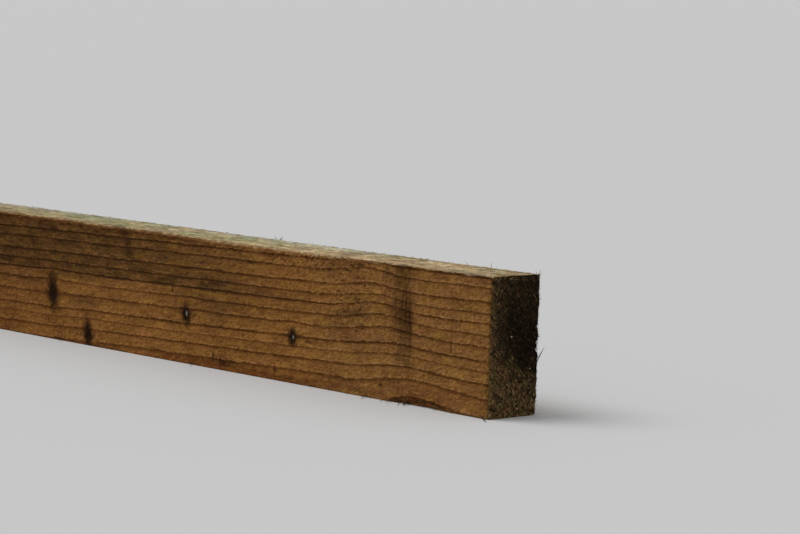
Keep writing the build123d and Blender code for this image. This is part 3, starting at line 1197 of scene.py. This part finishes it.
def addKnots(wood, colour):
    # knots with their dark streaks, pale hearts, and specks
    tree, colours = wood.tree, sawnFace
    lean = colours["knotLean"]
    ragged = blotches(tree, wood.place, (1.3, 1.3, 4.0), turn=(0, 8, 0), detail=3.0, rough=0.6)
    uneven = timesPlus(tree, ragged, 1.5, timesPlus(tree, wood.wool, 0.6, -1.05))
    offFront = ease(tree, wood.through, -19, -15, 0.0, 9.0)
    offBack = ease(tree, wood.through, 19, 15, 0.0, 9.0)
    for knots, offSide in ((grain["frontKnots"], offFront), (grain["backKnots"], offBack)):
        extra = plus(tree, uneven, offSide)
        away, streak, tail = (
            plus(tree, nearestMark(tree, wood.fromEnd, wood.height, knots, grow, lean), extra)
            for grow in ((1.0, 1.0), (2.8, 0.4), (0.8, 1.25))
        )
        colour = paint(tree, ease(tree, streak, 1.2, 0.3, 0.0, 0.5), colour, colours["knotRim"])
        colour = paint(tree, ease(tree, tail, 1.4, 0.6, 0.0, 0.55), colour, colours["knotRim"])
        colour = paint(tree, ease(tree, away, 1.8, 0.7, 0.0, 0.7), colour, colours["knotRim"])
        core = ease(tree, away, 1.1, 0.45)
        core = times(tree, core, ease(tree, ragged, 0.62, 0.42, 0.7, 0.97))
        colour = paint(tree, core, colour, colours["knot"])
    hearts = plus(tree, nearestMark(tree, wood.fromEnd, wood.height, colours["knotHearts"]), offFront)
    colour = paint(tree, ease(tree, hearts, 1.2, 0.4, 0.0, 0.85), colour, colours["knotHeart"])
    specks = plus(tree, nearestMark(tree, wood.fromEnd, wood.height, colours["specks"]), uneven)
    specks = plus(tree, specks, offFront)
    return paint(tree, ease(tree, specks, 1.5, 0.3, 0.0, 0.75), colour, colours["knotRim"])


def addTear(wood, colour):
    # painted light in the torn hollow, a painted shadow along its lip, and end colour creeping round
    # the arris
    tree, colours = wood.tree, sawnFace
    half = studSkin["tearLength"] / 2
    away = timesPlus(tree, wood.fromEnd, 1 / half, -studSkin["tearMiddle"] / half)
    share = larger(tree, minus(tree, 1.0, times(tree, away, away)), 0.0)
    lipHeight = calc("POWER", tree, share, studSkin["tearShape"])
    lipHeight = timesPlus(tree, lipHeight, studSkin["tearRise"], studSkin["lowerWear"][0])
    aboveLip = minus(tree, timesPlus(tree, wood.tints, 1.6, wood.height), lipHeight)
    # painted shadow along the lip over the torn hollow
    lip = band(tree, aboveLip, -0.4, 1.2, 0.6)
    lip = times(tree, lip, ease(tree, share, 0.02, 0.25, 0.0, 0.85))
    lip = times(tree, lip, wood.onFront)
    # painted light in the torn hollow
    torn = ease(tree, stored(tree, "tornShare"), 0.05, 0.4)
    colour = paint(tree, torn, colour, colours["tornLightTint"], "MULTIPLY")
    colour = paint(tree, lip, colour, colours["lipShadeTint"], "MULTIPLY")
    endCreep = ease(tree, timesPlus(tree, wood.wool, 3.0, wood.fromEnd), 4.2, 1.6, 0.0, 0.9)
    return paint(tree, endCreep, colour, colours["endTint"], "MULTIPLY")


def makeSawnFace():
    material, tree, shader = newFinish("sawnFace", sawnFace["shine"])
    wood = sawnField(tree)
    colour = ringColour(wood)
    steps = (
        shadeWool, addDirt, addArrisColours, addStain,
        addFlecks, addShaggyStrip, addKnots, addTear,
    )
    for step in steps:
        colour = step(wood, colour)
    feed(tree, shader.inputs["Base Color"], colour)
    relief = timesPlus(tree, wood.streaks, 0.4, wood.wool)
    relief = timesPlus(tree, wood.sawLines, 0.9, relief)
    relief = timesPlus(tree, ease(tree, wood.ring, 0.7, 0.92), 0.18, relief)
    relief = timesPlus(tree, wood.fleck, -0.6, relief)
    raiseBump(tree, shader, relief, sawnFace["bump"])
    roughen(tree, shader, wood.wool, *sawnFace["roughness"])
    return material


# Weathered upper edge

upperEdge = {
    "earlywood": (0.330, 0.250, 0.124),
    "latewood": (0.160, 0.098, 0.038),
    "tan": (0.375, 0.264, 0.144),
    "green": (0.255, 0.256, 0.112),
    "grey": (0.440, 0.415, 0.285),
    "pale": (0.600, 0.520, 0.365),
    "cream": (0.490, 0.362, 0.195),  # beside the front arris
    "redTint": (1.085, 0.975, 0.945),
    "greenTint": (0.935, 1.04, 0.965),
    "greyTint": (0.93, 0.97, 1.10),  # at the back, far from the near end
    "brown": (0.200, 0.130, 0.058),
    "dark": (0.080, 0.048, 0.019),
    "shine": 0.15,
    "roughness": (0.76, 0.22),
    "bump": 1.2,
}


def edgeField(tree):
    wood = woodField(tree)
    wood.streaks = blotches(tree, wood.place, (8, 2.2, 2.2), turn=(0, 0, 4), detail=3.0, rough=0.6)
    wood.wool = blotches(tree, wood.place, (4.5, 3.0, 3.0), turn=(0, 0, 25), detail=4.0, rough=0.66)
    wood.patches = blotches(tree, wood.place, (50, 18, 18))
    wood.atBack = ease(tree, wood.through, 0, 10)
    return wood


def edgeColour(wood):
    # rings, then tan, green and grey patches
    tree, colours = wood.tree, upperEdge
    ring = fraction(tree, timesPlus(tree, wood.wool, 0.3, wood.phase))
    colour = ramp(tree, ring, (
        (0.0, colours["earlywood"]), (0.6, colours["earlywood"]), (0.86, colours["latewood"]),
        (0.96, colours["latewood"]), (1.0, colours["earlywood"]),
    ))
    colour = paint(tree, ease(tree, wood.patches, 0.42, 0.60, 0.0, 0.85), colour, colours["tan"])
    mossy = band(tree, wood.fromEnd, 240, 580, 60.0)
    mossy = times(tree, mossy, ease(tree, wood.patches, 0.64, 0.38, 0.2, 0.9))
    elsewhere = ease(tree, wood.fromEnd, 700, 1000)
    elsewhere = times(tree, elsewhere, ease(tree, wood.patches, 0.56, 0.36, 0.0, 0.7))
    colour = paint(tree, larger(tree, mossy, elsewhere), colour, colours["green"])
    grey = times(tree, ease(tree, wood.through, -6, 12), band(tree, wood.fromEnd, 150, 700, 40.0))
    grey = times(tree, grey, ease(tree, wood.fromEnd, 240, 400, 1.0, 0.35))
    grey = times(tree, grey, ease(tree, wood.wool, 0.3, 0.6, 0.2, 0.9))
    return paint(tree, grey, colour, colours["grey"])


def addEdgeFlecks(wood, colour):
    # pale streaks, a pale strip beside the front arris, brown flecks and dark gaps
    tree, colours = wood.tree, upperEdge
    colour = paint(tree, ease(tree, wood.streaks, 0.53, 0.68, 0.0, 0.72), colour, colours["pale"])
    frontArris = ease(tree, timesPlus(tree, wood.wool, 8.0, wood.through), -11.0, -19.0, 0.0, 0.8)
    beside = paint(tree, band(tree, wood.fromEnd, 110, 350, 40.0), colours["tan"], colours["cream"])
    colour = paint(tree, frontArris, colour, beside)
    flecks = blotches(tree, wood.place, (7, 2.2, 2.2), turn=(0, 0, 16), detail=3.0, rough=0.6)
    inside = ease(tree, wood.through, -21, -14, 0.25, 1.0)
    clear = times(tree, inside, ease(tree, wood.fromEnd, 300, 520, 1.0, 0.6))
    brown = times(tree, ease(tree, flecks, 0.55, 0.68, 0.0, 0.75), clear)
    colour = paint(tree, brown, colour, colours["brown"])
    backArris = ease(tree, timesPlus(tree, wood.wool, 5.0, wood.through), 23.0, 26.0, 0.0, 0.25)
    colour = paint(tree, backArris, colour, colours["brown"])
    dark = ease(tree, times(tree, wood.wool, wood.streaks), 0.235, 0.14, 0.0, 0.9)
    return paint(tree, times(tree, dark, clear), colour, colours["dark"])


def tintEdge(wood, colour):
    # reddish and greenish parts, and a greyer back far from the near end
    tree, colours = wood.tree, upperEdge
    hue = blotches(tree, wood.place, (22, 7, 7))
    colour = paint(tree, ease(tree, hue, 0.50, 0.66), colour, colours["redTint"], "MULTIPLY")
    colour = paint(tree, ease(tree, hue, 0.50, 0.34), colour, colours["greenTint"], "MULTIPLY")
    far = times(tree, wood.atBack, ease(tree, wood.fromEnd, 420, 520))
    return paint(tree, far, colour, colours["greyTint"], "MULTIPLY")


def shadeEdge(wood, colour):
    # cloudy all over, with slow changes along the stud
    tree = wood.tree
    shade = ease(tree, blotches(tree, wood.place, (18, 12, 12)), 0.30, 0.70, 0.71, 1.23)
    level = timesPlus(tree, band(tree, wood.fromEnd, 60, 270, 40.0), 0.10, 1.0)
    level = plus(tree, level, ease(tree, wood.fromEnd, 60, 90, -0.04, 0.0))
    level = timesPlus(tree, wood.atBack, ease(tree, wood.fromEnd, 100, 70, 0.0, 0.10), level)
    dip = times(tree, wood.atBack, band(tree, wood.fromEnd, 95, 345, 20.0))
    level = timesPlus(tree, dip, -0.085, level)
    shade = times(tree, shade, level)
    return dim(tree, colour, times(tree, shade, wood.tone))


def makeUpperEdge():
    material, tree, shader = newFinish("upperEdge", upperEdge["shine"])
    wood = edgeField(tree)
    colour = edgeColour(wood)
    for step in (addEdgeFlecks, tintEdge, shadeEdge):
        colour = step(wood, colour)
    feed(tree, shader.inputs["Base Color"], colour)
    raiseBump(tree, shader, timesPlus(tree, wood.streaks, 0.5, wood.wool), upperEdge["bump"])
    roughen(tree, shader, wood.wool, *upperEdge["roughness"])
    return material


# Dark, woolly end grain

endGrain = {
    "dark": (0.0072, 0.0057, 0.0040),
    "olive": (0.086, 0.0530, 0.0230),
    "rust": (0.132, 0.0720, 0.0285),  # strip beside the front arris
    "tan": (0.310, 0.1980, 0.0880),
    "redTint": (1.10, 0.94, 0.97),
    "greenTint": (0.93, 1.03, 0.94),
    "tintSizes": (2.4, 8.0),
    "speck": (0.56, 0.50, 0.41),
    # from the front, height, half size
    "speckPlaces": ((20.5, 57.0, 0.7), (40.0, 33.5, 0.55), (28.5, 6.0, 0.45)),
    "hatchLengths": (5.0, 4.6),  # along the two slants of the fibres
    "shine": 0.02,
    "roughness": (0.82, 0.16),
    "bump": 1.6,
}


def tintEnd(tree, place, colour):
    # reddish and greenish clumps
    for size in endGrain["tintSizes"]:
        hue = blotches(tree, place, (size, size, size), detail=1.0)
        colour = paint(tree, ease(tree, hue, 0.52, 0.66), colour, endGrain["redTint"], "MULTIPLY")
        colour = paint(tree, ease(tree, hue, 0.48, 0.34), colour, endGrain["greenTint"], "MULTIPLY")
    return colour


def sapwoodBelt(wood, clumps):
    # the dark belt and the groove of sapwoodShare, with ragged outlines
    tree, belt = wood.tree, endFuzz
    level = timesPlus(tree, wood.through, belt["beltLean"], wood.height)
    level = timesPlus(tree, clumps, 60.0, minus(tree, level, 30.0))
    paler = ease(tree, level, *belt["palerLevels"], 0.0, belt["palerShare"])
    lessAtBack = ease(tree, wood.through, *belt["palerThrough"], 1.0, belt["palerAtBack"])
    paler = times(tree, paler, lessAtBack)
    sapwood = times(tree, ease(tree, level, *belt["beltLevels"]), minus(tree, 1.0, paler))
    across = ease(tree, wood.through, *belt["beltThrough"], belt["beltAtFront"], 1.0)
    sapwood = times(tree, sapwood, across)
    grooveHeight, fall, halfWidth = belt["groove"]
    groove = timesPlus(tree, wood.through, fall, plus(tree, wood.height, -fall * frontY / mm))
    groove = band(tree, groove, grooveHeight - halfWidth, grooveHeight + halfWidth, halfWidth)
    groove = times(tree, groove, band(tree, wood.through, -17, 18, 4.0))
    return larger(tree, sapwood, groove)


def makeEndGrain():
    colours = endGrain
    material, tree, shader = newFinish("endGrain", colours["shine"])
    wood = woodField(tree)
    falling, rising = (
        blotches(tree, wood.place, (3, length, 1.2), turn=(slant, 0, 0), detail=3.0, rough=0.6)
        for length, slant in zip(colours["hatchLengths"], endFuzz["slants"])
    )
    clumps = blotches(tree, wood.place, (9, 7, 7), detail=3.0)
    hollows = blotches(tree, wood.place, (3, 2.6, 2.6), detail=2.0)
    sapwood = sapwoodBelt(wood, clumps)
    colour = paint(tree, sapwood, colours["olive"], colours["dark"])
    strip = ease(tree, timesPlus(tree, clumps, 5.0, wood.through), -13.0, -19.5, 0.0, 0.76)
    strip = times(tree, strip, ease(tree, wood.height, 76, 92, 1.0, 0.4))
    colour = paint(tree, strip, colour, colours["rust"])
    ring = fraction(tree, timesPlus(tree, clumps, 0.3, wood.phase))
    colour = paint(tree, ease(tree, ring, 0.66, 0.94, 0.0, 0.6), colour, colours["dark"])
    hatch = larger(tree, falling, rising)
    flecks = times(tree, ease(tree, hatch, 0.54, 0.68), ease(tree, sapwood, 0.0, 1.0, 0.9, 0.16))
    colour = paint(tree, flecks, colour, colours["tan"])
    pits = smaller(tree, smaller(tree, falling, rising), hollows)
    colour = paint(tree, ease(tree, pits, 0.44, 0.34, 0.0, 0.97), colour, colours["dark"])
    colour = tintEnd(tree, wood.place, colour)
    colour = dim(tree, colour, ease(tree, wood.height, 24, 8, 1.0, 1.14))
    places = colours["speckPlaces"]
    specks = [(inward + frontY / mm, height, size, size) for inward, height, size in places]
    onNear = ease(tree, wood.fromEnd, 40, 20, 9.0, 0.0)
    speck = plus(tree, nearestMark(tree, wood.through, wood.height, specks), onNear)
    colour = paint(tree, ease(tree, speck, 1.1, 0.6), colour, colours["speck"])
    feed(tree, shader.inputs["Base Color"], colour)
    raiseBump(tree, shader, timesPlus(tree, clumps, 0.6, hatch), colours["bump"])
    roughen(tree, shader, clumps, *colours["roughness"])
    return material


# Loose fibres: dark, middle and pale

fibreColours = {
    "endFibre": ((0.005, 0.0040, 0.0029), (0.150, 0.094, 0.0390), (0.54, 0.365, 0.175)),
    "arrisFibre": ((0.030, 0.0135, 0.006), (0.12, 0.065, 0.025), (0.46, 0.36, 0.20)),
    "shine": 0.03,
    "roughness": 0.85,
    "bump": 0.1,
}


def makeFibre(name):
    material, tree, shader = newFinish(name, fibreColours["shine"])
    shader.inputs["Roughness"].default_value = fibreColours["roughness"]
    dark, middle, pale = fibreColours[name]
    colour = ramp(tree, stored(tree, "fibreTone"), ((0.0, dark), (0.5, middle), (1.0, pale)))
    place = tree.nodes.new("ShaderNodeTexCoord").outputs["Object"]
    if name == "endFibre":
        colour = tintEnd(tree, place, colour)
    feed(tree, shader.inputs["Base Color"], colour)
    raiseBump(tree, shader, blotches(tree, place, (0.5, 0.5, 0.5)), fibreColours["bump"])
    return material


# Floor, light and camera

stageValues = {
    "floorSize": 600.0,
    "floorColour": (0.56, 0.56, 0.56),
    "floorShine": 0.1,
    "floorRoughness": 0.95,
    "worldColour": (0.56, 0.56, 0.56),
    "sunStrength": 1.75,
    "sunAngle": 40.0,
    "sunElevation": 56.0,
    "sunAzimuth": 222.0,  # from +X towards +Y
}


def makeStage():
    size = stageValues["floorSize"] / 2
    mesh = bpy.data.meshes.new("floor")
    corners = [(-size, -size, 0), (size, -size, 0), (size, size, 0), (-size, size, 0)]
    mesh.from_pydata(corners, [], [(0, 1, 2, 3)])
    floor = bpy.data.objects.new("floor", mesh)
    bpy.context.collection.objects.link(floor)
    material, _, shader = newFinish("plainFloor", stageValues["floorShine"])
    shader.inputs["Roughness"].default_value = stageValues["floorRoughness"]
    shader.inputs["Base Color"].default_value = (*stageValues["floorColour"], 1.0)
    mesh.materials.append(material)
    world = bpy.data.worlds.new("studio")
    world.use_nodes = True
    background = world.node_tree.nodes["Background"]
    background.inputs["Color"].default_value = (*stageValues["worldColour"], 1.0)
    bpy.context.scene.world = world
    lamp = bpy.data.lights.new("softSun", "SUN")
    lamp.energy = stageValues["sunStrength"]
    lamp.angle = math.radians(stageValues["sunAngle"])
    sun = bpy.data.objects.new("softSun", lamp)
    azimuth = math.radians(stageValues["sunAzimuth"])
    elevation = math.radians(stageValues["sunElevation"])
    across = math.cos(elevation)
    toSun = Vector((math.cos(azimuth) * across, math.sin(azimuth) * across, math.sin(elevation)))
    sun.rotation_euler = toSun.to_track_quat("Z", "Y").to_euler()
    bpy.context.collection.objects.link(sun)
    bpy.context.scene.view_settings.view_transform = "Standard"
    print("stage: floor, world and soft sun")


cameraValues = {
    "place": (2.6535, -1.4533, 0.3035),
    "azimuth": 47.272,
    "elevation": 5.571,
    "roll": 1.806,
    "lens": 133.5,
    "sensorWidth": 36.0,
    "clipEnd": 2000.0,
}


def makeCamera():
    azimuth = math.radians(cameraValues["azimuth"])
    elevation = math.radians(cameraValues["elevation"])
    roll = math.radians(cameraValues["roll"])
    across = math.cos(elevation)
    look = Vector((-math.sin(azimuth) * across, math.cos(azimuth) * across, -math.sin(elevation)))
    side = Vector((math.cos(azimuth), math.sin(azimuth), 0))
    rise = side.cross(look)
    rolledSide = side * math.cos(roll) + rise * math.sin(roll)
    rolledRise = rise * math.cos(roll) - side * math.sin(roll)
    data = bpy.data.cameras.new("camera")
    data.sensor_width = cameraValues["sensorWidth"]
    data.lens = cameraValues["lens"]
    data.clip_end = cameraValues["clipEnd"]
    camera = bpy.data.objects.new("camera", data)
    bpy.context.collection.objects.link(camera)
    turn = Matrix((rolledSide, rolledRise, -look)).transposed().to_4x4()
    camera.matrix_world = Matrix.Translation(Vector(cameraValues["place"])) @ turn
    bpy.context.scene.camera = camera
    print("camera set")


stud = makeStudSkin()
endFibres = makeEndFuzz()
hairs = makeArrisHairs()
wideFibres = makeWideFibres()
upperFibres = makeUpperFibres()
sawnFinish = makeSawnFace()
upperFinish = makeUpperEdge()
for finish in (sawnFinish, upperFinish, makeEndGrain()):
    stud.data.materials.append(finish)
wideFibres.data.materials.append(sawnFinish)
upperFibres.data.materials.append(upperFinish)
endFibres.data.materials.append(makeFibre("endFibre"))
hairs.data.materials.append(makeFibre("arrisFibre"))
print("finishes made")
makeStage()
makeCamera()
